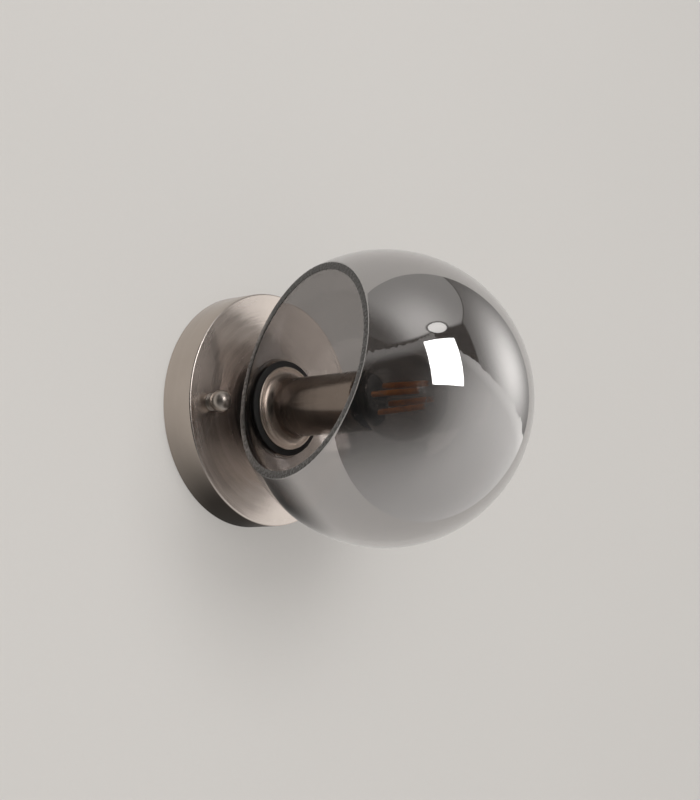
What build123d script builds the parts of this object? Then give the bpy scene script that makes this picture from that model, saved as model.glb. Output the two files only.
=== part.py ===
from build123d import *
import os
from math import acos, cos, degrees, radians, sin, sqrt

os.makedirs("parts", exist_ok=True)

# Globe wall light. Millimetres. The wall is the plane Y = 0, the room lies towards -Y and +Z is up.
# The lamp axis runs along -Y through the origin, the middle of the backplate's rear rim.
# "out" names a distance from the wall along the lamp axis, so a point at out = 10 has Y = -10.

# --- backplate: a drum-shaped pan with an open back ---
pan_radius = 61.75
pan_depth = 19.3
pan_wall = 1.2
pan_rim_round = 0.7

# --- glass globe ---
globe_radius = 75.0
globe_wall = 3.0
globe_gap = 1.2                 # pan face to the full sphere's nearest point
rear_hole_radius = 17.5         # hole that the glass hangs by
mouth_radius = 55.3             # outer edge of the large cut opening
mouth_polar = 105.5             # degrees from -Y
mouth_turn = 166.7              # degrees about -Y, from +X towards +Z

# --- clearances ---
glass_play = 0.3                # glass to anything that it turns past
thread_play = 0.05              # radial, between a plain-turned thread and its hole
hole_play = 0.25                # radial, bolt or stud in a plain hole
nest_play = 0.1                 # radial, pieces nested in one another
contact_gap = 0.3               # bulb tip to the lampholder's sprung contact

# --- centre stack ---
nipple_radius = 5.0             # M10 x 1 hollow threaded tube
nipple_bore = 3.95
nipple_tail = 4.5               # thread left behind the nut
nut_across_flats = 14.0
nut_thickness = 3.0
washer_radius = 9.0
washer_thickness = 1.0
lower_gasket_radius = 23.0
lower_gasket_trim = 8.0         # taller than the finished ring, then cut by the glass
bush_stand = 0.15               # bush above the glass's inner edge
upper_gasket_radius = 25.0
upper_gasket_bore = 8.0
upper_gasket_edge = 0.6         # thickness at the outer edge

# --- lamp cup: flared foot and tube in one turned piece ---
foot_radius = 22.0
foot_rim = 1.4                  # thickness of the foot's rounded rim
flare_radius = 5.0              # hollow curve from foot to tube
tube_radius = 15.5
tube_wall = 1.0
cup_floor = 2.5
ball_past_cup = 22.1            # bulb's middle beyond the tube's mouth

# --- lampholder, E14 ---
holder_radius = 13.5
holder_base_length = 12.0
holder_base_wall = 1.5
holder_base_floor = 2.0
boss_radius = 7.5
boss_length = 3.0
holder_body_length = 28.0
holder_floor = 9.0
holder_step = 3.0               # shoulder that carries the screw shell
holder_step_bore = 6.5
shell_wall = 0.4
shell_setback = 1.0             # shell below the body's mouth
contact_height = 2.0
strip_thickness = 0.4
strip_width = 5.0
terminal_width = 6.0
terminal_depth = 5.0
terminal_height = 6.0
terminal_offset = 7.6
wire_hole_offset = 5.9
terminal_screw_offset = 8.8
terminal_screw_radius = 1.0
terminal_head_radius = 1.6
terminal_head_height = 1.0
terminal_screw_length = 4.5
contact_pin_radius = 0.7
contact_pin_offset = 5.4

# --- bulb, 45 mm ball with E14 cap ---
bulb_radius = 22.3
bulb_length = 75.0
bulb_wall = 0.8
neck_radius = 6.45
neck_insert = 6.0
neck_straight_share = 0.116     # straight glass, of the way from the cap to the ball's middle
cap_radius = 6.95
cap_wall = 0.3
cap_length = 16.0
cap_taper = 1.5
insulator_height = 3.0
tip_radius = 2.4
tip_height = 1.0
stem_radius = 2.3
stem_flare = 8.0
stem_to_centre = 17.0
filament_count = 4
filament_length = 32.0
filament_radius = 1.5
filament_base_ring = 7.2
filament_tip_ring = 5.9
filament_turn = 75.0            # degrees from the right up to the first stick
support_radius = 0.3
support_rise = 1.0              # base wires above the stem's end
board_thickness = 1.2
board_rise = 5.0
capacitor_radius = 2.5
capacitor_length = 3.5

# --- stud fixings and ball nuts ---
stud_inset = 15.15              # stud's middle in from the pan's edge
stud_radius = 2.0               # M4
lock_nut_across_flats = 7.0
lock_nut_thickness = 3.2
ball_radius = 5.5
ball_centre = 6.7               # above the pan's face
nut_neck_radius = 3.2
nut_washer_radius = 4.5
nut_washer_thickness = 1.0
nut_engagement = 2.8            # thread held by the stud: four turns at 0.7 mm a turn
nut_bore_relief = 1.0           # bore beyond the stud's end

# --- wall crossbar with its tab ---
bar_inset = 8.75                # bar's end in from the pan's edge
bar_width = 25.0
bar_thickness = 2.0
bar_corner = 6.0
slot_spacing = 62.0
slot_length = 14.0
slot_width = 4.5
tab_width = 30.0
tab_reach = 38.0                # tab's lower edge below the lamp axis
tab_corner = 3.0

# --- terminal block on the tab ---
block_width = 26.0
block_depth = 10.0
block_height = 16.0
block_centre = 27.0             # below the lamp axis
block_pitch = 9.0
way_count = 3
block_way_radius = 2.4
insert_radius = 2.3
insert_bore = 1.2
clamp_screw_radius = 1.25
clamp_screw_offset = 4.5        # along the way, to each side of its middle
clamp_screw_sink = 1.0
clamp_screw_gap = 1.2           # screw end to the way's middle
insert_setback = 0.5
fixing_screw_radius = 1.25
fixing_head_radius = 2.3
fixing_head_height = 1.5

# --- earth screw and ring tag ---
earth_offset = 17.0
earth_screw_radius = 2.0
earth_head_radius = 3.6
earth_head_height = 2.4
tag_radius = 3.8
tag_thickness = 0.8
barrel_radius = 1.6
barrel_length = 4.3
barrel_start = 4.0              # below the screw's axis
earth_washer_thickness = 0.8

# --- internal leads ---
lead_radius = 0.9
lead_offset = 1.5               # each side of the lamp axis in the nipple
lead_rise = 4.8                 # out from the wall, where it passes behind the nipple
lead_bend = 3.5
lead_easy_bend = 5.0
lead_insert = 4.0               # lead inside a terminal block way
lead_straight = 4.0             # lead leaving the block
lead_crossing = 7.0             # height over which a lead moves across to the nipple
lead_tight_bend = 2.2           # at the splay above the nipple
lead_splay_end = 2.0            # straight lead below and inside its terminal
tail_bush_flange = 0.8
tail_bush_sleeve = 4.5
tail_bush_bore = 3.1

# --- planes and heights worked out from the sizes above ---
lamp_axis = Axis((0, 0, 0), (0, -1, 0))
turning = Plane(origin=(0, 0, 0), x_dir=(1, 0, 0), z_dir=(0, 0, -1))   # sketch X = radius, Y = out
globe_inner = globe_radius - globe_wall
globe_out = pan_depth + globe_gap + globe_radius


def facing(out, x=0.0, z=0.0):
    """Plane parallel to the wall, at `out`, looking into the room."""
    return Plane(origin=(x, -out, z), x_dir=(1, 0, 0), z_dir=(0, -1, 0))


def level(out, z, x=0.0):
    """Level plane at height z, its sketch X along the wall and its sketch Y towards the wall."""
    return Plane(origin=(x, -out, z), x_dir=(1, 0, 0), z_dir=(0, 0, 1))


def sphere_out(radius, r):
    """Out of the globe-centred sphere's rear half at distance r from the lamp axis."""
    return globe_out - sqrt(radius * radius - r * r)


def band(inner, outer, start, end):
    """Add to a turning sketch the rectangle of a ring between two radii and two outs."""
    with Locations((inner, start)):
        Rectangle(outer - inner, end - start, align=Align.MIN)


stud_spacing = 2 * (pan_radius - stud_inset)
stud_places = (-stud_spacing / 2, stud_spacing / 2)
bar_length = 2 * (pan_radius - bar_inset)
nut_end = pan_depth - pan_wall - washer_thickness
nut_start = nut_end - nut_thickness
nipple_start = nut_start - nipple_tail
bush_radius = rear_hole_radius - glass_play
bush_end = sphere_out(globe_inner, rear_hole_radius) + bush_stand
cup_start = sphere_out(globe_inner - glass_play, upper_gasket_radius) + upper_gasket_edge
holder_start = cup_start + cup_floor
body_start = holder_start + holder_base_length
body_end = body_start + holder_body_length
floor_out = body_start + holder_floor
shell_start = floor_out + holder_step
shell_inner = cap_radius + nest_play
shell_outer = shell_inner + shell_wall
nipple_end = holder_start + holder_base_floor + boss_length
tip_out = floor_out + contact_height + contact_gap
insulator_start = tip_out + tip_height
cap_start = insulator_start + insulator_height
cap_end = cap_start + cap_length
bulb_out = tip_out + bulb_length - bulb_radius
cup_end = bulb_out - ball_past_cup
neck_start = cap_end - neck_insert
neck_drop = (1 - neck_straight_share) * (bulb_out - cap_end)
neck_curve = (neck_drop**2 - bulb_radius**2 + neck_radius**2) / (2 * (bulb_radius - neck_radius))
stud_end = pan_depth + nut_washer_thickness + nut_engagement
earth_head_start = bar_thickness + tag_thickness + earth_washer_thickness
block_out = bar_thickness + block_depth / 2

# --- mounting crossbar: flat bar on the wall, with slots, stud holes and a tab for the wiring ---
with BuildPart() as mounting_crossbar:
    with BuildSketch(facing(0)):
        RectangleRounded(bar_length, bar_width, bar_corner)
        with Locations((0, -tab_reach / 2)):
            RectangleRounded(tab_width, tab_reach, tab_corner)
        with GridLocations(slot_spacing, 0, 2, 1):
            SlotOverall(slot_length, slot_width, mode=Mode.SUBTRACT)
        with GridLocations(stud_spacing, 0, 2, 1):
            Circle(stud_radius + thread_play, mode=Mode.SUBTRACT)
        with Locations((-earth_offset, 0)):
            Circle(earth_screw_radius + thread_play, mode=Mode.SUBTRACT)
        with Locations((block_pitch / 2, -block_centre)):
            Circle(fixing_screw_radius + thread_play, mode=Mode.SUBTRACT)
    extrude(amount=bar_thickness)

# --- canopy studs, screwed into the bar and standing out through the pan ---
with BuildPart() as canopy_studs:
    with BuildSketch(facing(0)):
        with GridLocations(stud_spacing, 0, 2, 1):
            Circle(stud_radius)
    extrude(amount=stud_end)

# --- lock nuts that hold the studs in the bar ---
with BuildPart() as stud_lock_nuts:
    with BuildSketch(facing(bar_thickness)):
        with GridLocations(stud_spacing, 0, 2, 1):
            RegularPolygon(lock_nut_across_flats / 2, 6, major_radius=False)
            Circle(stud_radius + thread_play, mode=Mode.SUBTRACT)
    extrude(amount=lock_nut_thickness)

# --- backplate: the pan, with a centre hole and two stud holes in its face ---
with BuildPart() as backplate:
    with BuildSketch(turning):
        band(0, pan_radius, 0, pan_depth)
    revolve(axis=lamp_axis)
    fillet(backplate.edges().sort_by(Axis.Y)[0], pan_rim_round)
    with BuildSketch(facing(0)):
        Circle(pan_radius - pan_wall)
    extrude(amount=pan_depth - pan_wall, mode=Mode.SUBTRACT)
    with BuildSketch(facing(0)):
        Circle(nipple_radius + hole_play)
        with GridLocations(stud_spacing, 0, 2, 1):
            Circle(stud_radius + hole_play)
    extrude(amount=pan_depth, mode=Mode.SUBTRACT)

# --- centre nipple: hollow threaded tube that clamps the stack ---
with BuildPart() as centre_nipple:
    with BuildSketch(turning):
        band(nipple_bore, nipple_radius, nipple_start, nipple_end)
    revolve(axis=lamp_axis)

# --- nipple nut and washer, inside the pan ---
with BuildPart() as nipple_nut:
    with BuildSketch(facing(nut_start)):
        RegularPolygon(nut_across_flats / 2, 6, major_radius=False)
        Circle(nipple_radius + thread_play, mode=Mode.SUBTRACT)
    extrude(amount=nut_thickness)

with BuildPart() as nipple_washer:
    with BuildSketch(turning):
        band(nipple_radius + hole_play, washer_radius, nut_end, nut_end + washer_thickness)
    revolve(axis=lamp_axis)

# --- edge bush in the nipple's tail, so that its rim does not cut the leads ---
with BuildPart() as nipple_tail_bush:
    with BuildSketch(turning):
        band(tail_bush_bore, nipple_radius, nipple_start - tail_bush_flange, nipple_start)
        band(tail_bush_bore, nipple_bore - nest_play, nipple_start, nipple_start + tail_bush_sleeve)
    revolve(axis=lamp_axis)

# --- centring bush: fills the glass's rear hole and keeps it off the nipple ---
with BuildPart() as centring_bush:
    with BuildSketch(turning):
        band(nipple_radius + nest_play, bush_radius, pan_depth, bush_end)
    revolve(axis=lamp_axis)

# --- lower gasket: between the pan's face and the outside of the glass ---
with BuildPart() as lower_gasket:
    with BuildSketch(turning):
        band(bush_radius + nest_play, lower_gasket_radius, pan_depth, pan_depth + lower_gasket_trim)
    revolve(axis=lamp_axis)
    with Locations((0, -globe_out, 0)):
        Sphere(globe_radius + glass_play, mode=Mode.SUBTRACT)

# --- upper gasket: dished below to the inside of the glass, flat above for the cup's foot ---
with BuildPart() as upper_gasket:
    with Locations((0, -globe_out, 0)):
        Sphere(globe_inner - glass_play)
    with BuildSketch(turning):
        band(0, bush_radius, bush_end, globe_out)
        band(bush_radius, upper_gasket_radius, pan_depth, globe_out)
    revolve(axis=lamp_axis, mode=Mode.INTERSECT)
    with BuildSketch(facing(cup_start)):
        Circle(upper_gasket_radius + glass_play)
    extrude(amount=globe_out, mode=Mode.SUBTRACT)
    with BuildSketch(turning):
        band(0, upper_gasket_bore, pan_depth, globe_out)
    revolve(axis=lamp_axis, mode=Mode.SUBTRACT)

# --- globe: a hollow sphere with a rear hole and a large slanting mouth cut flat ---
mouth_plane_distance = sqrt(globe_radius**2 - mouth_radius**2)
mouth_direction = Vector(
    sin(radians(mouth_polar)) * cos(radians(mouth_turn)),
    -cos(radians(mouth_polar)),
    sin(radians(mouth_polar)) * sin(radians(mouth_turn)),
)
globe_centre = Vector(0, -globe_out, 0)
mouth_plane = Plane(origin=globe_centre + mouth_direction * mouth_plane_distance, z_dir=mouth_direction)

with BuildPart() as globe_glass:
    with Locations(globe_centre):
        Sphere(globe_radius)
        Sphere(globe_inner, mode=Mode.SUBTRACT)
    split(bisect_by=mouth_plane, keep=Keep.BOTTOM)
    with BuildSketch(facing(0)):
        Circle(rear_hole_radius)
    extrude(amount=globe_out, mode=Mode.SUBTRACT)

# --- lamp cup: flared foot, hollow curve and straight tube with a thick floor ---
foot_land_end = cup_start + foot_rim
with BuildPart() as lamp_cup:
    with BuildSketch(turning):
        with BuildLine():
            Polyline(
                (foot_radius - foot_rim / 2, foot_land_end),
                (tube_radius + flare_radius, foot_land_end),
            )
            CenterArc((tube_radius + flare_radius, foot_land_end + flare_radius), flare_radius, 180, 90)
            Polyline(
                (tube_radius, foot_land_end + flare_radius),
                (tube_radius, cup_end),
                (tube_radius - tube_wall, cup_end),
                (tube_radius - tube_wall, holder_start),
                (nipple_radius + hole_play, holder_start),
                (nipple_radius + hole_play, cup_start),
                (foot_radius - foot_rim / 2, cup_start),
            )
            CenterArc((foot_radius - foot_rim / 2, cup_start + foot_rim / 2), foot_rim / 2, -90, 180)
        make_face()
    revolve(axis=lamp_axis)

# --- lampholder base: cup with a threaded boss on the nipple ---
with BuildPart() as lampholder_base:
    with BuildSketch(turning):
        band(nipple_radius + thread_play, holder_radius, holder_start, holder_start + holder_base_floor)
        band(nipple_radius + thread_play, boss_radius, holder_start, nipple_end)
        band(holder_radius - holder_base_wall, holder_radius, holder_start, body_start)
    revolve(axis=lamp_axis)

# --- lampholder body: insulating barrel with pockets for the terminals ---
with BuildPart() as lampholder_body:
    with BuildSketch(turning):
        band(0, holder_radius, body_start, floor_out)
        band(holder_step_bore, holder_radius, floor_out, shell_start)
        band(shell_outer + nest_play, holder_radius, shell_start, body_end)
    revolve(axis=lamp_axis)
    with BuildSketch(facing(body_start)):
        with GridLocations(2 * terminal_offset, 0, 2, 1):
            Rectangle(terminal_width + 2 * nest_play, terminal_depth + 2 * nest_play)
    extrude(amount=terminal_height, mode=Mode.SUBTRACT)
    with BuildSketch(facing(body_start)):
        with Locations((contact_pin_offset, 0), (-(shell_inner + shell_outer) / 2, 0)):
            Circle(contact_pin_radius + nest_play)
    extrude(amount=holder_floor + holder_step, mode=Mode.SUBTRACT)

# --- terminals: two brass blocks, each with a wire hole and a screw hole ---
with BuildPart() as lampholder_terminals:
    with BuildSketch(facing(body_start)):
        with GridLocations(2 * terminal_offset, 0, 2, 1):
            Rectangle(terminal_width, terminal_depth)
        with GridLocations(2 * wire_hole_offset, 0, 2, 1):
            Circle(lead_radius + nest_play, mode=Mode.SUBTRACT)
        with GridLocations(2 * terminal_screw_offset, 0, 2, 1):
            Circle(terminal_screw_radius + thread_play, mode=Mode.SUBTRACT)
    extrude(amount=terminal_height)

with BuildPart() as terminal_screws:
    with BuildSketch(facing(body_start - terminal_head_height)):
        with GridLocations(2 * terminal_screw_offset, 0, 2, 1):
            Circle(terminal_head_radius)
    extrude(amount=terminal_head_height)
    with BuildSketch(facing(body_start)):
        with GridLocations(2 * terminal_screw_offset, 0, 2, 1):
            Circle(terminal_screw_radius)
    extrude(amount=terminal_screw_length)

# --- screw shell of the lampholder, on its shoulder ---
with BuildPart() as lampholder_shell:
    with BuildSketch(turning):
        band(shell_inner, shell_outer, shell_start, body_end - shell_setback)
    revolve(axis=lamp_axis)

# --- side contact pin, from one terminal to the shell ---
with BuildPart() as side_contact_pin:
    with BuildSketch(facing(body_start + terminal_height)):
        with Locations((-(shell_inner + shell_outer) / 2, 0)):
            Circle(contact_pin_radius)
    extrude(amount=shell_start - body_start - terminal_height)

# --- sprung centre contact: a strip bent back over itself, with its pin to the other terminal ---
strip_far = contact_pin_offset
with BuildPart() as centre_contact:
    with BuildSketch(turning):
        with BuildLine():
            Polyline(
                (-strip_far, floor_out),
                (strip_far, floor_out),
                (strip_far, floor_out + strip_thickness),
                (-strip_far + 2 * strip_thickness, floor_out + strip_thickness),
                (-tip_radius, floor_out + contact_height - strip_thickness),
                (tip_radius, floor_out + contact_height - strip_thickness),
                (tip_radius, floor_out + contact_height),
                (-tip_radius - strip_thickness, floor_out + contact_height),
                (-strip_far, floor_out + strip_thickness),
                close=True,
            )
        make_face()
    extrude(amount=strip_width / 2, both=True)
    with BuildSketch(facing(body_start + terminal_height)):
        with Locations((contact_pin_offset, 0)):
            Circle(contact_pin_radius)
    extrude(amount=holder_floor - terminal_height)

# --- bulb cap: tip, insulator and screw shell ---
with BuildPart() as bulb_tip:
    with BuildSketch(turning):
        band(0, tip_radius, tip_out, insulator_start)
    revolve(axis=lamp_axis)
    fillet(bulb_tip.edges().sort_by(Axis.Y)[-1], tip_height / 2)

with BuildPart() as bulb_insulator:
    with BuildSketch(turning):
        Polygon(
            (0, insulator_start),
            (tip_radius, insulator_start),
            (cap_radius - cap_taper, cap_start),
            (0, cap_start),
            align=None,
        )
    revolve(axis=lamp_axis)

with BuildPart() as bulb_screw_cap:
    with BuildSketch(turning):
        Polygon(
            (0, cap_start),
            (cap_radius - cap_taper, cap_start),
            (cap_radius, cap_start + cap_taper),
            (cap_radius, cap_end),
            (cap_radius - cap_wall, cap_end),
            (cap_radius - cap_wall, cap_start + cap_taper + cap_wall),
            (0, cap_start + cap_taper + cap_wall),
            align=None,
        )
    revolve(axis=lamp_axis)


def bulb_side(ball, neck, curve):
    """Add to a turning sketch's line the bulb's side: neck, hollow curve and ball up to the axis."""
    meet = degrees(acos((neck + curve) / (ball + curve)))
    Line((neck, neck_start), (neck, bulb_out - neck_drop))
    CenterArc((neck + curve, bulb_out - neck_drop), curve, 180, -meet)
    CenterArc((0, bulb_out), ball, -meet, 90 + meet)


# --- bulb envelope: clear ball with a neck that goes into the cap ---
with BuildPart() as bulb_envelope:
    with BuildSketch(turning):
        with BuildLine():
            bulb_side(bulb_radius, neck_radius, neck_curve)
            Polyline((0, bulb_out + bulb_radius), (0, neck_start), (neck_radius, neck_start))
        make_face()
    revolve(axis=lamp_axis)
    with BuildSketch(turning):
        with BuildLine():
            bulb_side(bulb_radius - bulb_wall, neck_radius - bulb_wall, neck_curve + bulb_wall)
            Polyline(
                (0, bulb_out + bulb_radius - bulb_wall),
                (0, neck_start),
                (neck_radius - bulb_wall, neck_start),
            )
        make_face()
    revolve(axis=lamp_axis, mode=Mode.SUBTRACT)

# --- glass stem that closes the neck and carries the filaments ---
stem_foot = neck_radius - bulb_wall - nest_play
stem_end = bulb_out - stem_to_centre
with BuildPart() as bulb_stem:
    with BuildSketch(turning):
        Polygon(
            (0, neck_start),
            (stem_foot, neck_start),
            (stem_radius, neck_start + stem_flare),
            (stem_radius, stem_end),
            (0, stem_end),
            align=None,
        )
    revolve(axis=lamp_axis)

# --- filaments: straight sticks round the stem's line, drawn in a little towards the tip ---
filament_places = []
for index in range(filament_count):
    angle = radians(filament_turn + 360 / filament_count * index)
    across = Vector(cos(angle), 0, sin(angle))
    base = across * filament_base_ring + Vector(0, -(bulb_out - filament_length / 2), 0)
    tip = across * filament_tip_ring + Vector(0, -(bulb_out + filament_length / 2), 0)
    filament_places.append((base, tip))

with BuildPart() as bulb_filaments:
    for base, tip in filament_places:
        with BuildSketch(Plane(origin=base, z_dir=tip - base)):
            Circle(filament_radius)
        extrude(amount=(tip - base).length)

# --- support wires from the stem to the filaments' ends ---
base_hub = Vector(0, -(stem_end + support_rise), 0)
tip_hub = Vector(0, -(bulb_out + filament_length / 2), 0)
with BuildPart() as bulb_support_wires:
    with BuildSketch(facing(stem_end)):
        Circle(support_radius)
    extrude(amount=bulb_out + filament_length / 2 - stem_end)
    for base, tip in filament_places:
        for start, end in ((base_hub, base), (tip_hub, tip)):
            reach = end - start
            with BuildSketch(Plane(origin=start, z_dir=reach)):
                Circle(support_radius)
            extrude(amount=reach.length - filament_radius - support_radius)

# --- driver board and capacitor inside the cap ---
board_out = cap_start + board_rise
with BuildPart() as bulb_driver:
    with BuildSketch(turning):
        band(0, cap_radius - cap_wall - nest_play, board_out, board_out + board_thickness)
        band(0, capacitor_radius, board_out - capacitor_length + board_thickness, board_out)
    revolve(axis=lamp_axis)

# --- ball nuts and their washers, one pair at each stud ---
for side, x in zip(("left", "right"), stud_places):
    stud_axis = Axis((x, 0, 0), (0, -1, 0))
    stud_turning = Plane(origin=(x, 0, 0), x_dir=(1, 0, 0), z_dir=(0, 0, -1))
    seat = pan_depth + nut_washer_thickness
    with BuildPart() as nut_washer:
        with BuildSketch(stud_turning):
            band(stud_radius + hole_play, nut_washer_radius, pan_depth, seat)
        revolve(axis=stud_axis)
    nut_washer.part.label = f"{side}_nut_washer"
    export_step(nut_washer.part, f"parts/{side}_nut_washer.step")
    with BuildPart() as ball_nut:
        with BuildSketch(stud_turning):
            band(0, nut_neck_radius, seat, pan_depth + ball_centre)
        revolve(axis=stud_axis)
        with Locations((x, -(pan_depth + ball_centre), 0)):
            Sphere(ball_radius)
        with BuildSketch(stud_turning):
            band(0, stud_radius + thread_play, seat, stud_end + nut_bore_relief)
        revolve(axis=stud_axis, mode=Mode.SUBTRACT)
    ball_nut.part.label = f"{side}_ball_nut"
    export_step(ball_nut.part, f"parts/{side}_ball_nut.step")

# --- terminal block: three ways side by side on the tab, open at top and bottom ---
block_bottom = -block_centre - block_height / 2
block_top = -block_centre + block_height / 2
with BuildPart() as terminal_block:
    with BuildSketch(facing(bar_thickness, z=-block_centre)):
        Rectangle(block_width, block_height)
    extrude(amount=block_depth)
    with BuildSketch(level(block_out, block_bottom)):
        with GridLocations(block_pitch, 0, way_count, 1):
            Circle(block_way_radius)
    extrude(amount=block_height, mode=Mode.SUBTRACT)
    with BuildSketch(facing(block_out, z=-block_centre)):
        with GridLocations(block_pitch, 2 * clamp_screw_offset, way_count, 2):
            Circle(clamp_screw_radius + nest_play)
    extrude(amount=block_depth, mode=Mode.SUBTRACT)
    with BuildSketch(facing(bar_thickness, x=block_pitch / 2, z=-block_centre)):
        Circle(fixing_screw_radius + nest_play)
    extrude(amount=block_depth, mode=Mode.SUBTRACT)

# --- brass inserts of the three ways, with holes for the clamp screws ---
with BuildPart() as terminal_inserts:
    with BuildSketch(level(block_out, block_bottom + insert_setback)):
        with GridLocations(block_pitch, 0, way_count, 1):
            Circle(insert_radius)
            Circle(insert_bore, mode=Mode.SUBTRACT)
    extrude(amount=block_height - 2 * insert_setback)
    with BuildSketch(facing(block_out, z=-block_centre)):
        with GridLocations(block_pitch, 2 * clamp_screw_offset, way_count, 2):
            Circle(clamp_screw_radius + nest_play)
    extrude(amount=block_depth, mode=Mode.SUBTRACT)

# --- clamp screws, sunk a little in the block's face ---
with BuildPart() as clamp_screws:
    with BuildSketch(facing(block_out + clamp_screw_gap, z=-block_centre)):
        with GridLocations(block_pitch, 2 * clamp_screw_offset, way_count, 2):
            Circle(clamp_screw_radius)
    extrude(amount=block_depth / 2 - clamp_screw_gap - clamp_screw_sink)

# --- screw that holds the block on the tab ---
with BuildPart() as block_fixing_screw:
    with BuildSketch(facing(0, x=block_pitch / 2, z=-block_centre)):
        Circle(fixing_screw_radius)
    extrude(amount=bar_thickness + block_depth)
    with BuildSketch(facing(bar_thickness + block_depth, x=block_pitch / 2, z=-block_centre)):
        Circle(fixing_head_radius)
    extrude(amount=fixing_head_height)

# --- earth screw with its washer and ring tag, on the bar beside the lamp axis ---
with BuildPart() as earth_screw:
    with BuildSketch(facing(0, x=-earth_offset)):
        Circle(earth_screw_radius)
    extrude(amount=earth_head_start)
    with BuildSketch(facing(earth_head_start, x=-earth_offset)):
        Circle(earth_head_radius)
    extrude(amount=earth_head_height)

with BuildPart() as earth_washer:
    with BuildSketch(facing(bar_thickness + tag_thickness, x=-earth_offset)):
        Circle(earth_head_radius)
        Circle(earth_screw_radius + hole_play, mode=Mode.SUBTRACT)
    extrude(amount=earth_washer_thickness)

barrel_out = bar_thickness + barrel_radius + nest_play
with BuildPart() as earth_tag:
    with BuildSketch(facing(bar_thickness, x=-earth_offset)):
        Circle(tag_radius)
        with Locations((0, -barrel_start)):
            Rectangle(2 * barrel_radius, 2 * barrel_radius)
        Circle(earth_screw_radius + hole_play, mode=Mode.SUBTRACT)
    extrude(amount=tag_thickness)
    with BuildSketch(level(barrel_out, -barrel_start - barrel_length, x=-earth_offset)):
        Circle(barrel_radius)
    extrude(amount=barrel_length)
    with BuildSketch(level(barrel_out, -barrel_start - barrel_length, x=-earth_offset)):
        Circle(lead_radius + nest_play)
    extrude(amount=barrel_length, mode=Mode.SUBTRACT)

# --- live and neutral leads: from the block up behind the nipple, through it and out to the terminals ---
lead_bends = [lead_easy_bend, lead_easy_bend, lead_bend, lead_tight_bend, lead_tight_bend]
lead_parts = {}
for name, way, side in (("live_lead", block_pitch, 1), ("neutral_lead", 0, -1)):
    start = (way, -block_out, block_top - lead_insert)
    route = [
        start,
        (way, -block_out, block_top + lead_straight),
        (side * lead_offset, -lead_rise, block_top + lead_straight + lead_crossing),
        (side * lead_offset, -lead_rise, 0),
        (side * lead_offset, -nipple_end, 0),
        (side * wire_hole_offset, -(body_start - lead_splay_end), 0),
        (side * wire_hole_offset, -(body_start + lead_splay_end), 0),
    ]
    with BuildPart() as lead:
        with BuildLine() as lead_line:
            FilletPolyline(*route, radius=lead_bends)
        with BuildSketch(Plane(origin=start, z_dir=(0, 0, 1))):
            Circle(lead_radius)
        sweep(path=lead_line.line)
    lead_parts[name] = lead
    print(name, "length", round(lead_line.wires()[0].length, 1))

# --- earth lead: from the block to the ring tag ---
earth_start = (-block_pitch, -block_out, block_top - lead_insert)
earth_route = [
    earth_start,
    (-block_pitch, -block_out, block_top + lead_straight),
    (-earth_offset, -barrel_out, -barrel_start - barrel_length - lead_straight / 2),
    (-earth_offset, -barrel_out, -barrel_start),
]
with BuildPart() as earth_lead:
    with BuildLine() as earth_line:
        FilletPolyline(*earth_route, radius=[lead_easy_bend, lead_bend])
    with BuildSketch(Plane(origin=earth_start, z_dir=(0, 0, 1))):
        Circle(lead_radius)
    sweep(path=earth_line.line)
print("earth_lead", "length", round(earth_line.wires()[0].length, 1))

# --- every piece under its own name ---
pieces = {
    "mounting_crossbar": mounting_crossbar,
    "canopy_studs": canopy_studs,
    "stud_lock_nuts": stud_lock_nuts,
    "backplate": backplate,
    "centre_nipple": centre_nipple,
    "nipple_nut": nipple_nut,
    "nipple_washer": nipple_washer,
    "nipple_tail_bush": nipple_tail_bush,
    "centring_bush": centring_bush,
    "lower_gasket": lower_gasket,
    "upper_gasket": upper_gasket,
    "globe_glass": globe_glass,
    "lamp_cup": lamp_cup,
    "lampholder_base": lampholder_base,
    "lampholder_body": lampholder_body,
    "lampholder_terminals": lampholder_terminals,
    "terminal_screws": terminal_screws,
    "lampholder_shell": lampholder_shell,
    "side_contact_pin": side_contact_pin,
    "centre_contact": centre_contact,
    "bulb_tip": bulb_tip,
    "bulb_insulator": bulb_insulator,
    "bulb_screw_cap": bulb_screw_cap,
    "bulb_envelope": bulb_envelope,
    "bulb_stem": bulb_stem,
    "bulb_filaments": bulb_filaments,
    "bulb_support_wires": bulb_support_wires,
    "bulb_driver": bulb_driver,
    "terminal_block": terminal_block,
    "terminal_inserts": terminal_inserts,
    "clamp_screws": clamp_screws,
    "block_fixing_screw": block_fixing_screw,
    "earth_screw": earth_screw,
    "earth_washer": earth_washer,
    "earth_tag": earth_tag,
    "earth_lead": earth_lead,
    **lead_parts,
}
for name, piece in pieces.items():
    piece.part.label = name
    export_step(piece.part, f"parts/{name}.step")
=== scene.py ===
"""Looks of a globe wall light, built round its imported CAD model.

Metres. The wall is the plane Y = 0, the room lies towards -Y and +Z is up. The lamp axis is the
Y axis. Profiles of turned pieces are pairs (radius, out), where out is the distance from the wall.
"""
import logging
from dataclasses import dataclass, replace
from enum import Enum
from math import acos, asin, atan2, ceil, cos, degrees, pi, radians, sin, sqrt, tau
from typing import Any, Callable, Dict, List, Optional, Sequence, Tuple, Union

import bmesh
import bpy
from mathutils import Matrix, Vector


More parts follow.
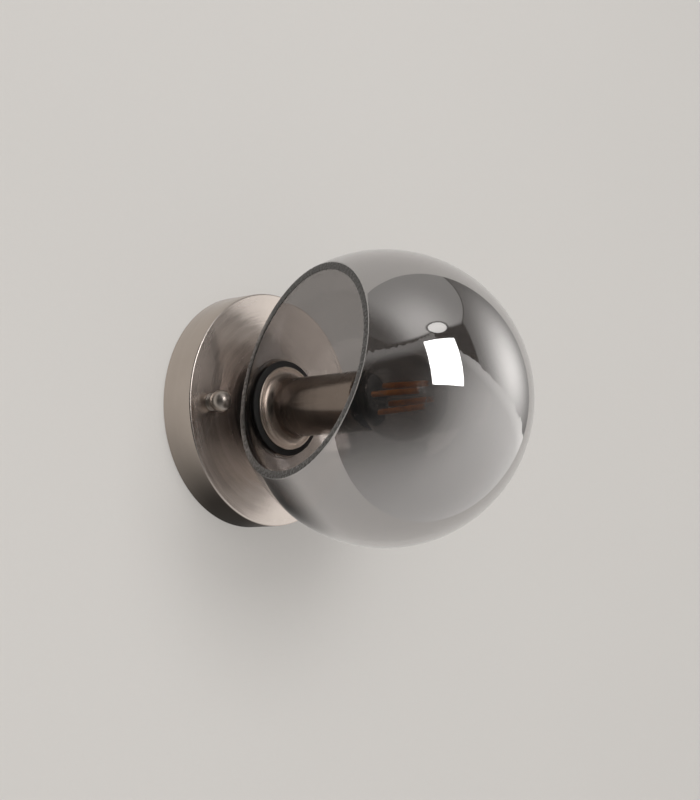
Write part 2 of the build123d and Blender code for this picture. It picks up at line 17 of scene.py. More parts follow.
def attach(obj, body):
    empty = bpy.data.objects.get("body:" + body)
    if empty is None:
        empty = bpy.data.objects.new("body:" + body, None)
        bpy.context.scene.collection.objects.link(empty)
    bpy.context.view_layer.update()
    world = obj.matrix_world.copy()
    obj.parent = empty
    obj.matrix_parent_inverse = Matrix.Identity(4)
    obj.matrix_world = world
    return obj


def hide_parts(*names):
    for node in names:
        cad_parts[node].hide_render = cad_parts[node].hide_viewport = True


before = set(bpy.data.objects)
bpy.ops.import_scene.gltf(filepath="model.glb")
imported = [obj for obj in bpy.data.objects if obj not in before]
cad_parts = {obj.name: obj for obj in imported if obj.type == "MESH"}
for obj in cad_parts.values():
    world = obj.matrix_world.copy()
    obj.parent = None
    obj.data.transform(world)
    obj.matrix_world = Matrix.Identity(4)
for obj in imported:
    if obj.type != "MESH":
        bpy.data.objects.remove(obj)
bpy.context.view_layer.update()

log = logging.getLogger("globe_wall_light")

Point = Tuple[float, float]
Triple = Tuple[float, float, float]
Colour = Triple
Step = Tuple[float, ...]
Pool = Tuple[Triple, float, float]
Piece = bpy.types.Object
MM = 0.001
HAIR = 1e-5  # slack where places are compared
STUD_X = 0.0466  # of the two studs that hold the pan
STUD_HOLE = 0.00225


class Body(Enum):
    """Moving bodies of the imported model."""

    FIXTURE = "wall_fixture"
    GLOBE = "globe"
    BULB = "bulb"
    LEFT_WASHER = "left_washer"
    LEFT_NUT = "left_nut"
    RIGHT_WASHER = "right_washer"
    RIGHT_NUT = "right_nut"


class Slot(Enum):
    """Material slots of the record, named for each new piece; the script does not use them."""

    BRUSHED_NICKEL = "brushed_nickel"
    DARK_NICKEL = "dark_nickel"
    POLISHED_NICKEL = "polished_nickel"
    SMOKED_GLASS = "smoked_glass"
    CLEAR_GLASS = "clear_glass"
    CAP_NICKEL = "cap_nickel"
    AMBER_PHOSPHOR = "amber_phosphor"
    BLACK_RUBBER = "black_rubber"


# ----- Shader arithmetic -----


def operator(operation: str, swapped: bool = False) -> Callable[["Signal", "Value"], "Signal"]:
    """Make an operator of two values that adds a Math node.

    Args:
        operation: The node's operation.
        swapped: True if the second value comes first.

    Returns:
        A method of a signal.
    """

    def act(self: "Signal", other: "Value") -> "Signal":
        """The node's result."""
        return self.maths(operation, *((other, self) if swapped else (self, other)))

    return act


class Signal:
    """A node's output that can stand in a Python expression, which adds its Math nodes."""

    def __init__(self, graph: "Graph", socket: bpy.types.NodeSocket) -> None:
        """Wrap a socket of the graph."""
        self.graph, self.socket = graph, socket

    def maths(self, operation: str, *values: "Value") -> "Signal":
        """One Math node with its inputs in order."""
        return self.graph.node("ShaderNodeMath", {"operation": operation}, dict(enumerate(values)))

    def sibling(self, name: str) -> "Signal":
        """Another output of the same node."""
        return Signal(self.graph, self.socket.node.outputs[name])

    def line(self, slope: float, start: float) -> "Signal":
        """The height of a straight line over this."""
        return self * slope + start

    __add__ = __radd__ = operator("ADD")
    __sub__, __rsub__ = operator("SUBTRACT"), operator("SUBTRACT", swapped=True)
    __mul__ = __rmul__ = operator("MULTIPLY")
    __truediv__, __pow__ = operator("DIVIDE"), operator("POWER")
    least, most = operator("MINIMUM"), operator("MAXIMUM")


Value = Union[Signal, float, Sequence[float]]


class Graph:
    """The node tree of one material or world, filled by short calls."""

    def __init__(self, tree: bpy.types.NodeTree) -> None:
        """Start an empty tree."""
        self.tree = tree
        tree.nodes.clear()

    def node(
        self,
        kind: str,
        settings: Optional[Dict[str, Any]] = None,
        inputs: Optional[Dict[Union[int, str], Any]] = None,
        output: Union[int, str] = 0,
    ) -> Signal:
        """Add a node, set it and link it.

        Args:
            kind: The node's type.
            settings: Its own settings, which are set first.
            inputs: Values or signals by socket number or name.
            output: The socket that the result stands for.

        Returns:
            The chosen output.
        """
        made = self.tree.nodes.new(kind)
        for name, value in (settings or {}).items():
            setattr(made, name, value)
        for name, value in (inputs or {}).items():
            if isinstance(value, Signal):
                self.tree.links.new(value.socket, made.inputs[name])
            elif isinstance(value, tuple) and made.inputs[name].type == "RGBA":
                made.inputs[name].default_value = (*value[:3], 1.0)
            else:
                made.inputs[name].default_value = value
        return Signal(self, made.outputs[output])

    def place(self, centre: Sequence[float] = (0.0, 0.0, 0.0)) -> Signal:
        """Object coordinates, measured from a centre."""
        spot = self.node("ShaderNodeTexCoord", output="Object")
        inputs = {"Vector": spot, "Location": tuple(-value for value in centre)}
        return self.node("ShaderNodeMapping", {"vector_type": "POINT"}, inputs)

    def parts(self, vector: Signal) -> Tuple[Signal, Signal, Signal]:
        """The three numbers of a vector."""
        split = self.node("ShaderNodeSeparateXYZ", inputs={"Vector": vector})
        return tuple(Signal(self, socket) for socket in split.socket.node.outputs)

    def vector(self, x: Value, y: Value, z: Value) -> Signal:
        """A vector from three numbers."""
        return self.node("ShaderNodeCombineXYZ", inputs={"X": x, "Y": y, "Z": z})

    def vectors(self, operation: str, a: Value, b: Value = (0.0, 0.0, 0.0)) -> Signal:
        """Vector Math on two vectors."""
        return self.node("ShaderNodeVectorMath", {"operation": operation}, {0: a, 1: b})

    def scaled(self, vector: Signal, by: Value) -> Signal:
        """A vector times a number."""
        return self.node("ShaderNodeVectorMath", {"operation": "SCALE"}, {0: vector, "Scale": by})

    def pool(self, way: Signal, middle: Triple, power: float, gain: float) -> Signal:
        """A round pool about a direction; a higher power makes it smaller."""
        facing = self.vectors("DOT_PRODUCT", way, tuple(Vector(middle).normalized()))
        return facing.sibling("Value").most(0.0) ** power * gain

    def noise(self, vector: Signal, scale: float, detail: float = 2.0, rough: float = 0.5) -> Signal:
        """Smooth noise from 0 to 1, about 0.5."""
        inputs = {"Vector": vector, "Scale": scale, "Detail": detail, "Roughness": rough}
        return self.node("ShaderNodeTexNoise", {"noise_dimensions": "3D"}, inputs)

    def cells(self, vector: Signal, scale: float, distance: str = "EUCLIDEAN") -> Signal:
        """Distance from the middle of the nearest cell."""
        settings = {"feature": "F1", "distance": distance}
        return self.node("ShaderNodeTexVoronoi", settings, {"Vector": vector, "Scale": scale}, "Distance")

    def ramped(self, value: Signal, low: float, high: float, start: float = 0.0, end: float = 1.0) -> Signal:
        """A smooth step of a value.

        Args:
            value: The number to map.
            low: Where the step starts.
            high: Where it ends.
            start: The result up to low.
            end: The result from high on.

        Returns:
            The mapped number.
        """
        return self.node(
            "ShaderNodeMapRange",
            {"interpolation_type": "SMOOTHSTEP"},
            {"Value": value, "From Min": low, "From Max": high, "To Min": start, "To Max": end},
        )

    def blend(self, share: Value, first: Value, second: Value) -> Signal:
        """A colour between two colours.

        Args:
            share: How much of the second it has.
            first: The colour at 0.
            second: The colour at 1.

        Returns:
            The mixed colour.
        """
        mixed = self.node("ShaderNodeMix", {"data_type": "RGBA"}, {"Factor": share})
        node = mixed.socket.node
        for socket, value in zip((s for s in node.inputs if s.type == "RGBA"), (first, second)):
            if isinstance(value, Signal):
                self.tree.links.new(value.socket, socket)
            else:
                socket.default_value = (*value[:3], 1.0)
        return Signal(self, next(s for s in node.outputs if s.type == "RGBA"))

    def bump(self, height: Signal, distance: float) -> Signal:
        """A normal from a height in units of the distance."""
        return self.node("ShaderNodeBump", inputs={"Distance": distance, "Height": height})

    def principled(self, **inputs: Any) -> Signal:
        """A Principled shader; a name's underscores stand for spaces."""
        named = {name.replace("_", " "): value for name, value in inputs.items()}
        return self.node("ShaderNodeBsdfPrincipled", inputs=named)

    def mixed(self, share: Value, first: Signal, second: Signal) -> Signal:
        """A shader between two shaders."""
        return self.node("ShaderNodeMixShader", inputs={0: share, 1: first, 2: second})

    def finish(self, surface: Signal, kind: str = "ShaderNodeOutputMaterial") -> None:
        """Join the surface to the tree's output."""
        output = self.tree.nodes.new(kind)
        self.tree.links.new(surface.socket, output.inputs["Surface"])


# ----- Finishes -----


@dataclass(frozen=True)
class Finish:
    """Base of the finishes: a name and a way to fill a material's graph."""

    name: str

    def shade(self, graph: Graph) -> Signal:
        """The surface shader of this finish."""
        raise NotImplementedError

    def material(self) -> bpy.types.Material:
        """The finish as a material, made once."""
        found = bpy.data.materials.get(self.name)
        if found is None:
            found = bpy.data.materials.new(self.name)
            found.use_nodes = True
            graph = Graph(found.node_tree)
            graph.finish(self.shade(graph))
        return found


@dataclass(frozen=True)
class SpunMetal(Finish):
    """Metal brushed or turned round an axis parallel to Y, with fine rings that spread the light.

    Beyond a given radius, where one is set, a painted highlight lightens the colour.
    """

    colour: Colour = (0.6, 0.56, 0.52)
    shade_colour: Colour = (0.5, 0.46, 0.43)
    roughness: float = 0.22
    spread: float = 0.5
    ring_width: float = 0.00028
    wave: float = 0.05
    centre: Triple = (0.0, 0.0, 0.0)
    # painted highlight: its colour, the radius where it starts and how fast it rises
    bright: Colour = (0.74, 0.64, 0.56)
    painted_highlight_from: float = 0.0
    painted_highlight_rise: float = 0.0035
    wobble: Tuple[float, float] = (0.5, 0.7)
    broader: Triple = (0.09, 0.09, 0.6)
    patch_scale: float = 34.0
    mottle: Point = (0.2, 0.8)

    def shade(self, graph: Graph) -> Signal:
        """Tilt the normal across the rings by noise that follows radius and height."""
        spot = graph.place(self.centre)
        x, y, z = graph.parts(spot)
        radius = (x * x + z * z + 1e-12) ** 0.5
        round_x, round_z = x / radius, z / radius
        along = graph.vector(round_z, 0.0, round_x * -1.0)
        drift, change = self.wobble
        rings = graph.vector(
            radius / self.ring_width + round_x * drift,
            y / self.ring_width + round_z * drift,
            round_x * change,
        )
        fine = graph.noise(rings, 1.0, 3.0, 0.7) - 0.5
        broad = graph.noise(graph.vectors("MULTIPLY", rings, self.broader), 1.0) - 0.5
        patches = graph.noise(spot, self.patch_scale, 3.0)
        normal = graph.node("ShaderNodeNewGeometry", output="Normal")
        across = graph.vectors("CROSS_PRODUCT", normal, along)
        tilt = fine * self.spread + broad * self.wave
        bent = graph.vectors("NORMALIZE", graph.vectors("ADD", normal, graph.scaled(across, tilt)))
        base = graph.blend(graph.ramped(patches + fine * 0.5, *self.mottle), self.shade_colour, self.colour)
        # painted highlight: beyond the given radius the colour is blended to a lighter one
        if self.painted_highlight_from:
            painted_highlight_zone = graph.ramped(radius, self.painted_highlight_from, self.painted_highlight_from + self.painted_highlight_rise)
            base = graph.blend(painted_highlight_zone, base, self.bright)
        smooth, dull = self.roughness * 0.85, self.roughness * 1.2
        return graph.principled(
            Base_Color=base,
            Metallic=1.0,
            Roughness=graph.ramped(patches + broad, *self.mottle, smooth, dull),
            Normal=bent,
        )


@dataclass(frozen=True)
class PlainMetal(Finish):
    """Plated, drawn or cast metal with a faint mottle, dulled patches and small scratches."""

    colour: Colour = (0.6, 0.6, 0.62)
    dulled: Colour = (0.45, 0.45, 0.47)
    roughness: float = 0.3
    grain: float = 900.0
    relief: float = 0.00002

    def shade(self, graph: Graph) -> Signal:
        """Mottle the colour and the roughness and add a fine relief."""
        spot = graph.place()
        patches = graph.noise(spot, self.grain * 0.12, 4.0, 0.6)
        grain = graph.noise(spot, self.grain, 3.0, 0.6)
        tone = graph.ramped(patches * 0.7 + grain * 0.3, 0.3, 0.7)
        return graph.principled(
            Base_Color=graph.blend(tone, self.dulled, self.colour),
            Metallic=1.0,
            Roughness=graph.ramped(tone, 0.0, 1.0, self.roughness * 1.3, self.roughness * 0.8),
            Normal=graph.bump(grain, self.relief),
        )


@dataclass(frozen=True)
class Moulded(Finish):
    """Moulded plastic, rubber or insulation with a fine skin."""

    colour: Colour = (0.03, 0.03, 0.03)
    worn: Colour = (0.05, 0.05, 0.05)
    roughness: float = 0.5
    grain: float = 1600.0
    relief: float = 0.00003
    specular: float = 0.4
    coat: float = 0.0

    def shade(self, graph: Graph) -> Signal:
        """Vary the colour a little and give the skin its relief."""
        spot = graph.place()
        skin = graph.noise(spot, self.grain, 3.0, 0.6)
        patches = graph.noise(spot, 70.0, 4.0)
        tone = graph.ramped(patches * 0.75 + skin * 0.25, 0.35, 0.65)
        return graph.principled(
            Base_Color=graph.blend(tone, self.colour, self.worn),
            Roughness=graph.ramped(patches, 0.3, 0.7, self.roughness * 0.85, self.roughness * 1.15),
            Specular_IOR_Level=self.specular,
            Coat_Weight=self.coat,
            Normal=graph.bump(skin, self.relief),
        )


@dataclass(frozen=True)
class Phosphor(Finish):
    """Granular amber coating of the filament sticks."""

    colour: Colour = (0.9, 0.32, 0.035)
    thin: Colour = (0.55, 0.17, 0.02)

    def shade(self, graph: Graph) -> Signal:
        """Beads of coating over a darker strip."""
        spot = graph.place()
        beads = graph.cells(spot, 1500.0)
        runs = graph.noise(spot, 260.0, 4.0, 0.6)
        tone = graph.ramped(runs - beads * 0.25, 0.2, 0.6)
        return graph.principled(
            Base_Color=graph.blend(tone, self.thin, self.colour),
            Roughness=graph.ramped(runs, 0.3, 0.7, 0.35, 0.6),
            Normal=graph.bump(1.0 - beads, 0.00008),
        )


@dataclass(frozen=True)
class Laminate(Finish):
    """Green circuit board with copper tracks under its lacquer."""

    lacquer: Colour = (0.03, 0.16, 0.07)
    track: Colour = (0.10, 0.30, 0.12)

    def shade(self, graph: Graph) -> Signal:
        """Tracks by a stepped pattern under a gloss."""
        spot = graph.place()
        weave = graph.noise(spot, 2400.0)
        tone = graph.ramped(graph.cells(spot, 420.0, "CHEBYCHEV"), 0.32, 0.38)
        return graph.principled(
            Base_Color=graph.blend(tone, self.lacquer, self.track),
            Roughness=graph.ramped(weave, 0.3, 0.7, 0.3, 0.45),
            Normal=graph.bump(tone * 0.6 + weave * 0.4, 0.00004),
        )


@dataclass(frozen=True)
class Glass(Finish):
    """Blown glass, clear or smoked, with an optional metal film on its outer face."""

    tint: Colour = (0.98, 0.98, 0.97)
    shadow: Colour = (0.95, 0.95, 0.94)
    film: float = 0.0
    film_rise: float = 0.1
    film_colour: Colour = (0.85, 0.82, 0.8)
    film_roughness: float = 0.015
    ripple: float = 0.0
    ior: float = 1.5
    rim_tint: Optional[Colour] = None
    rim_power: float = 3.0
    swell_scale: float = 22.0
    haze_scale: float = 90.0

    def shade(self, graph: Graph) -> Signal:
        """Bend and tint the light, mirror a share of it, and let lamps through by a tinted shade."""
        spot = graph.place()
        shared: Dict[str, Any] = {}
        if self.ripple:
            shared["Normal"] = graph.bump(graph.noise(spot, self.swell_scale), self.ripple)
        edge = graph.node("ShaderNodeLayerWeight", inputs={"Blend": 0.5}, output="Facing")
        tint = graph.blend(edge**self.rim_power, self.tint, self.rim_tint) if self.rim_tint else self.tint
        surface = graph.principled(
            Base_Color=tint,
            Roughness=0.0,
            Transmission_Weight=1.0,
            IOR=self.ior,
            **shared,
        )
        if self.film:
            haze = graph.noise(spot, self.haze_scale, 4.0, 0.6)
            rough = graph.ramped(haze, 0.35, 0.7, self.film_roughness, self.film_roughness * 2.0)
            mirror = graph.principled(Base_Color=self.film_colour, Metallic=1.0, Roughness=rough, **shared)
            surface = graph.mixed(edge**2.0 * self.film_rise + self.film, surface, mirror)
        shadow = graph.node("ShaderNodeLightPath", output="Is Shadow Ray")
        lamp_way = graph.node("ShaderNodeBsdfTransparent", inputs={"Color": self.shadow})
        return graph.mixed(shadow.most(shadow.sibling("Is Diffuse Ray")), surface, lamp_way)


@dataclass(frozen=True)
class PaintedWall(Finish):
    """Matt pale paint.

    With a glow share it is seen only from the front and shines a little by itself towards the camera. Metal
    and glass then mirror it as its glow alone, with a painted shadow about a place (x, z) below the light.
    """

    colour: Colour = (0.69, 0.665, 0.635)
    darker: Colour = (0.66, 0.635, 0.605)
    glow: Colour = (0.62, 0.60, 0.575)
    glow_share: float = 0.0
    # painted shadow that metal and glass mirror: its middle (x, z) and its step
    painted_shadow_spot: Point = (-0.02, -0.07)
    painted_shadow_step: Triple = (0.012, 0.095, 0.09)

    def shade(self, graph: Graph) -> Signal:
        """Paint with a slow change of tone and a roller's texture."""
        spot = graph.place()
        drift = graph.noise(spot, 1.6, 3.0)
        skin = graph.noise(spot, 420.0, 3.0, 0.6)
        paint = graph.principled(
            Base_Color=graph.blend(graph.ramped(drift, 0.3, 0.7), self.darker, self.colour),
            Roughness=0.85,
            Specular_IOR_Level=0.25,
            Normal=graph.bump(skin, 0.00012),
        )
        if not self.glow_share:
            return paint
        camera = graph.node("ShaderNodeLightPath", output="Is Camera Ray")
        glossy = camera.sibling("Is Glossy Ray")
        looked_at = camera.most(camera.sibling("Is Transmission Ray")) * self.glow_share
        x, _, z = graph.parts(spot)
        # painted shadow: for glossy rays the glow darkens near a place below the light
        away = ((x - self.painted_shadow_spot[0]) ** 2 + (z - self.painted_shadow_spot[1]) ** 2) ** 0.5
        painted_shadow_glow = graph.scaled(graph.vector(*self.glow), graph.ramped(away, *self.painted_shadow_step))
        light = graph.node("ShaderNodeEmission", inputs={"Color": graph.blend(glossy, self.glow, painted_shadow_glow)})
        paint = graph.mixed(looked_at.most(glossy), paint, light)
        back = graph.node("ShaderNodeNewGeometry", output="Backfacing")
        return graph.mixed(back, paint, graph.node("ShaderNodeBsdfTransparent"))


# painted light: the face's nickel is coloured lighter than the side's, though both are one spun metal
PAN_METAL = SpunMetal("spun_satin_nickel", (0.68, 0.61, 0.56), (0.59, 0.525, 0.48), 0.23, 0.75, 0.0002, 0.03)
PAN_SIDE_METAL = SpunMetal(
    "satin_nickel_side", (0.54, 0.475, 0.42), (0.48, 0.42, 0.37), 0.22, 0.5, 0.0002, 0.03
)
CUP_METAL = SpunMetal(
    "turned_satin_nickel",
    (0.28, 0.23, 0.195),
    (0.22, 0.178, 0.15),
    roughness=0.24,
    ring_width=0.00012,
    wave=0.01,
    # painted highlight on the cup's flared foot, beyond the tube
    painted_highlight_from=0.0158,
)
NUT_METAL = SpunMetal("nut_nickel", (0.46, 0.415, 0.375), (0.38, 0.34, 0.305), 0.32, 0.1, 0.0003, 0.02)
INSIDE_METAL = SpunMetal("drawn_steel_inside", (0.42, 0.41, 0.40), (0.32, 0.31, 0.30), 0.38, 0.3, 0.0005)
ZINC = PlainMetal("zinc_plate", (0.62, 0.62, 0.64), (0.46, 0.46, 0.49), 0.34, 700.0)
BRASS = PlainMetal("bare_brass", (0.72, 0.53, 0.25), (0.52, 0.36, 0.16), 0.3, 800.0)
TIN = PlainMetal("soldered_tip", (0.52, 0.52, 0.53), (0.38, 0.38, 0.40), 0.42, 500.0, 0.00005)
CAP_PLATE = PlainMetal("nickel_cap", (0.70, 0.68, 0.65), (0.55, 0.53, 0.50), 0.2, 900.0)
WIRE = PlainMetal("bright_wire", (0.78, 0.77, 0.75), (0.62, 0.61, 0.60), 0.16, 1500.0, 0.00001)
RUBBER = Moulded("black_rubber", (0.024, 0.024, 0.025), (0.036, 0.036, 0.037), 0.6, 1200.0, 0.00003, 0.35)
BLACK_PLASTIC = Moulded("black_phenolic", (0.015, 0.015, 0.015), (0.03, 0.03, 0.03), 0.4)
WHITE_PLASTIC = Moulded("white_polyamide", (0.80, 0.80, 0.77), (0.72, 0.72, 0.69), 0.42)
VITRITE = Moulded("black_vitrite", (0.012, 0.01, 0.016), (0.03, 0.024, 0.035), 0.12, 900.0, 0.00002, 0.5, 0.6)
BROWN_SLEEVE = Moulded("brown_insulation", (0.17, 0.07, 0.03), (0.22, 0.10, 0.05), 0.4)
BLUE_SLEEVE = Moulded("blue_insulation", (0.03, 0.12, 0.42), (0.05, 0.17, 0.5), 0.4)
PHOSPHOR = Phosphor("amber_phosphor_coat")
BOARD = Laminate("driver_laminate")
SMOKED_INSIDE = Glass(
    "smoked_glass_inside", (0.44, 0.42, 0.41), (0.56, 0.54, 0.535), ripple=0.00002, ior=1.45
)
SMOKED = replace(SMOKED_INSIDE, name="smoke_plated_glass", film=0.37, film_colour=(0.94, 0.925, 0.92))
CLEAR = Glass("clear_bulb_glass", (0.72, 0.69, 0.67), rim_tint=(0.12, 0.11, 0.105))
STEM = Glass("stem_glass", (0.93, 0.95, 0.94), ripple=0.0002)


@dataclass(frozen=True)
class GroundEdge(Finish):
    """Cut and polished edge of the smoked glass, dark because it is seen along the wall."""

    colour: Colour = (0.055, 0.052, 0.049)
    ground: Colour = (0.059, 0.056, 0.053)

    def shade(self, graph: Graph) -> Signal:
        """Dark gloss with faint grinding marks."""
        spot = graph.place()
        marks = graph.noise(spot, 600.0, 3.0, 0.6)
        return graph.principled(
            Base_Color=graph.blend(marks, self.colour, self.ground),
            Roughness=graph.ramped(marks, 0.3, 0.7, 0.24, 0.3),
            Specular_IOR_Level=0.4,
            Normal=graph.bump(marks, 0.0000002),
        )


@dataclass(frozen=True)
class StripedSleeve(Finish):
    """Earth lead's insulation, green with a yellow stripe along it."""

    green: Colour = (0.05, 0.30, 0.07)
    yellow: Colour = (0.72, 0.60, 0.06)

    def shade(self, graph: Graph) -> Signal:
        """One side of the sleeve is yellow."""
        spot = graph.place()
        x, y, _ = graph.parts(spot)
        facing = graph.parts(graph.node("ShaderNodeTexCoord", output="Normal"))[1]
        skin = graph.noise(spot, 1500.0)
        stripe = graph.ramped(facing + (x + y) * 2.0, -0.05, 0.05)
        return graph.principled(
            Base_Color=graph.blend(stripe, self.yellow, self.green),
            Roughness=graph.ramped(skin, 0.3, 0.7, 0.36, 0.46),
            Normal=graph.bump(skin, 0.00002),
        )


NODE_FINISHES: Dict[Finish, Tuple[str, ...]] = {
    ZINC: (
        "mounting_crossbar", "canopy_studs", "stud_lock_nuts", "centre_nipple", "nipple_nut", "nipple_washer",
        "terminal_screws", "clamp_screws", "block_fixing_screw", "earth_screw", "earth_washer",
    ),
    BRASS: (
        "lampholder_terminals", "lampholder_shell", "side_contact_pin", "centre_contact", "terminal_inserts",
        "earth_tag",
    ),
    TIN: ("bulb_tip",),
    VITRITE: ("bulb_insulator",),
    BOARD: ("bulb_driver",),
    RUBBER: ("lower_gasket", "upper_gasket"),
    BLACK_PLASTIC: ("centring_bush", "lampholder_base", "lampholder_body"),
    WHITE_PLASTIC: ("nipple_tail_bush", "terminal_block"),
    BROWN_SLEEVE: ("live_lead",),
    BLUE_SLEEVE: ("neutral_lead",),
    StripedSleeve("green_and_yellow_insulation"): ("earth_lead",),
}


# ----- Modelling -----


def arc(centre: Point, radius: float, start: float, end: float, count: int) -> List[Point]:
    """Points of an arc in a profile.

    Args:
        centre: Its centre as (radius, out).
        radius: Its own radius.
        start: Angle of its first point, in degrees from the outward radius towards the room.
        end: Angle of its last point.
        count: How many steps it has.

    Returns:
        The points, ends included.
    """
    turns = (radians(start + (end - start) * step / count) for step in range(count + 1))
    return [(centre[0] + radius * cos(turn), centre[1] + radius * sin(turn)) for turn in turns]


def softened(corners: Sequence[Triple], closed: bool) -> List[Point]:
    """Round the corners of a profile.

    Args:
        corners: Each corner as (radius, out, rounding).
        closed: True if the last corner leads back to the first.

    Returns:
        The profile's points.
    """
    points: List[Point] = []
    last = len(corners) - 1
    for index, (across, out, rounding) in enumerate(corners):
        here = Vector((across, out))
        if rounding == 0 or (not closed and index in (0, last)):
            points.append((across, out))
            continue
        before = Vector(corners[index - 1][:2]) - here
        after = Vector(corners[(index + 1) % len(corners)][:2]) - here
        half = before.angle(after) / 2
        middle = here + (before.normalized() + after.normalized()).normalized() * (rounding / sin(half))
        first = here + before.normalized() * (rounding * cos(half) / sin(half)) - middle
        swing = first.angle_signed(here + after.normalized() * (rounding * cos(half) / sin(half)) - middle)
        steps = max(2, ceil(abs(degrees(swing)) / 18))
        for step in range(steps + 1):
            turned = Matrix.Rotation(-swing * step / steps, 2) @ first
            points.append(tuple(middle + turned))
    return points


def deselect() -> None:
    """Leave edit mode and deselect everything."""
    if bpy.context.mode != "OBJECT":
        bpy.ops.object.mode_set(mode="OBJECT")
    bpy.ops.object.select_all(action="DESELECT")


def take(piece: Piece) -> None:
    """Make one piece the only selected and active one."""
    deselect()
    piece.select_set(True)
    bpy.context.view_layer.objects.active = piece


def edit(piece: Piece, choose: Optional[Callable[[bmesh.types.BMEdge], bool]] = None) -> None:
    """Enter edit mode with some edges or everything selected.

    Args:
        piece: The piece to edit.
        choose: Says of an edge whether it is selected; None selects everything.
    """
    take(piece)
    bpy.ops.object.mode_set(mode="EDIT")
    bpy.ops.mesh.select_mode(type="EDGE" if choose else "VERT")
    bpy.ops.mesh.select_all(action="DESELECT" if choose else "SELECT")
    if choose:
        mesh = bmesh.from_edit_mesh(piece.data)
        for edge in mesh.edges:
            if choose(edge):
                edge.select_set(True)
        mesh.select_flush_mode()
        bmesh.update_edit_mesh(piece.data)


def leave_edit() -> None:
    """Back to object mode."""
    bpy.ops.object.mode_set(mode="OBJECT")


def turned(name: str, profile: Sequence[Point], steps: int = 128, closed: bool = True) -> Piece:
    """Turn a profile round the Y axis.

    Args:
        name: The new piece's name.
        profile: Points (radius, out); ends on the axis make poles.
        steps: Steps of the turn.
        closed: True if the last point joins the first.

    Returns:
        The piece, with outward normals.
    """
    deselect()
    bpy.ops.mesh.primitive_plane_add(size=MM, location=(0, 0, 0))
    piece = bpy.context.active_object
    piece.name = piece.data.name = name
    bpy.ops.object.mode_set(mode="EDIT")
    bpy.ops.mesh.select_mode(type="VERT")
    bpy.ops.mesh.select_all(action="SELECT")
    bpy.ops.mesh.merge(type="CENTER")
    bpy.ops.transform.translate(value=(profile[0][0], -profile[0][1], 0))
    for before, after in zip(profile, profile[1:]):
        step = (after[0] - before[0], before[1] - after[1], 0)
        bpy.ops.mesh.extrude_region_move(TRANSFORM_OT_translate={"value": step})
    if closed:
        mesh = bmesh.from_edit_mesh(piece.data)
        mesh.verts.ensure_lookup_table()
        for vertex in mesh.verts:
            vertex.select_set(len(vertex.link_edges) == 1)
        bmesh.update_edit_mesh(piece.data)
        bpy.ops.mesh.edge_face_add()
    bpy.ops.mesh.select_all(action="SELECT")
    bpy.ops.mesh.spin(steps=steps, angle=tau, center=(0, 0, 0), axis=(0, 1, 0))
    merge()
    return piece


def merge(distance: float = 2e-6) -> None:
    """Merge doubles and turn the normals outwards, in edit mode, then leave it."""
    bpy.ops.mesh.select_all(action="SELECT")
    bpy.ops.mesh.remove_doubles(threshold=distance)
    bpy.ops.mesh.normals_make_consistent(inside=False)
    leave_edit()


def settle(piece: Piece) -> Piece:
    """Put the piece's place into its mesh."""
    take(piece)
    bpy.ops.object.transform_apply(location=True, rotation=True, scale=True)
    return piece


def added(name: str) -> Piece:
    """The primitive that was just added, named, with its place put into its mesh."""
    piece = bpy.context.active_object
    piece.name = piece.data.name = name
    return settle(piece)


def smoothed(piece: Piece, angle: float = 35.0) -> Piece:
    """Shade smooth, but sharp over an angle in degrees."""
    take(piece)
    bpy.ops.object.shade_smooth_by_angle(angle=radians(angle))
    return piece


def joined(pieces: Sequence[Piece], name: str) -> Piece:
    """Join pieces into one mesh.

    Args:
        pieces: The pieces.
        name: The new piece's name.

    Returns:
        The new piece.
    """
    take(pieces[0])
    for piece in pieces:
        piece.select_set(True)
    bpy.ops.object.join()
    pieces[0].name = pieces[0].data.name = name
    return pieces[0]


def copied(piece: Piece, name: str) -> Piece:
    """Copy a piece with its mesh.

    Args:
        piece: The piece.
        name: The copy's name.

    Returns:
        The copy.
    """
    made = bpy.data.objects.new(name, piece.data.copy())
    made.data.name = name
    bpy.context.scene.collection.objects.link(made)
    return made


def cut_away(piece: Piece, point: Vector, normal: Vector) -> None:
    """Cut the piece by a plane and drop what lies on the normal's side."""
    edit(piece)
    bpy.ops.mesh.bisect(plane_co=point, plane_no=normal, clear_outer=True, use_fill=False)
    leave_edit()


def drill(piece: Piece, cutter: Piece) -> None:
    """Cut a shape out of a piece and drop the cutter.

    Args:
        piece: The piece.
        cutter: The shape.
    """
    take(piece)
    tool = piece.modifiers.new("drill", "BOOLEAN")
    tool.operation, tool.solver, tool.object = "DIFFERENCE", "EXACT", cutter
    bpy.ops.object.modifier_apply(modifier=tool.name)
    bpy.data.objects.remove(cutter)


def bent_wire(points: Sequence[Vector], thickness: float) -> Piece:
    """Bend a round wire.

    Args:
        points: The points that lead it.
        thickness: Half its thickness.

    Returns:
        The wire as a mesh.
    """
    data = bpy.data.curves.new("wire", "CURVE")
    data.dimensions = "3D"
    data.bevel_depth, data.bevel_resolution = thickness, 3
    data.use_fill_caps = True
    data.resolution_u = 8
    line = data.splines.new("NURBS")
    line.points.add(len(points) - 1)
    for spot, point in zip(line.points, points):
        spot.co = (*point, 1.0)
    line.order_u = 3
    line.use_endpoint_u = True
    wire = bpy.data.objects.new("wire", data)
    bpy.context.scene.collection.objects.link(wire)
    take(wire)
    bpy.ops.object.convert(target="MESH")
    return bpy.context.active_object


def on_axis(out: float) -> Vector:
    """A place on the lamp axis, or a step along it."""
    return Vector((0, -out, 0))


def off_axis(place: Vector) -> float:
    """How far a place lies from the lamp axis."""
    return Vector((place.x, place.z)).length


def dress(piece: Piece, *finishes: Finish) -> None:
    """Give a piece its finishes, the first for all faces."""
    piece.data.materials.clear()
    for finish in finishes:
        piece.data.materials.append(finish.material())


